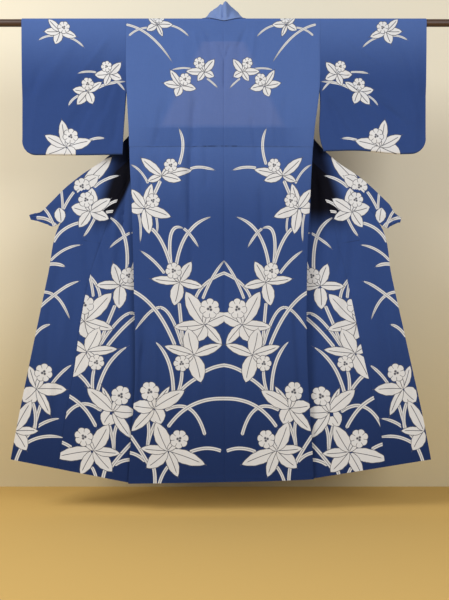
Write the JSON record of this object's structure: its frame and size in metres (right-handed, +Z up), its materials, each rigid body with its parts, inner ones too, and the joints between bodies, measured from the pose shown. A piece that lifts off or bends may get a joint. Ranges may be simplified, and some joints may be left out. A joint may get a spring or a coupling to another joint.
{
  "type": "cotton yukata robe on a hanging rod",
  "caption": "Straight-cut unlined cotton robe with square bag sleeves and a folded collar band, hung by its sleeves on a round wooden rod, its fronts folded back and drawn out.",
  "frame": {"origin": "middle of the rod's axis, where the rod is held", "axes": "+Z up, +X along the rod, the robe's back faces -Y"},
  "size_m": [1.5, 0.0928, 1.5747],
  "materials": {
    "printed_cotton": "plain-woven cotton, matt, blue ground with a printed flower pattern left pale",
    "rod_wood": "dark brown stain, satin"
  },
  "bodies": {
    "root": {"rod": "rod_wood", "back_left": "printed_cotton", "back_right": "printed_cotton", "front_left": "printed_cotton", "front_right": "printed_cotton", "overlap_left": "printed_cotton", "overlap_right": "printed_cotton", "sleeve_left": "printed_cotton", "sleeve_right": "printed_cotton", "collar": "printed_cotton"}
  },
  "joints": []
}
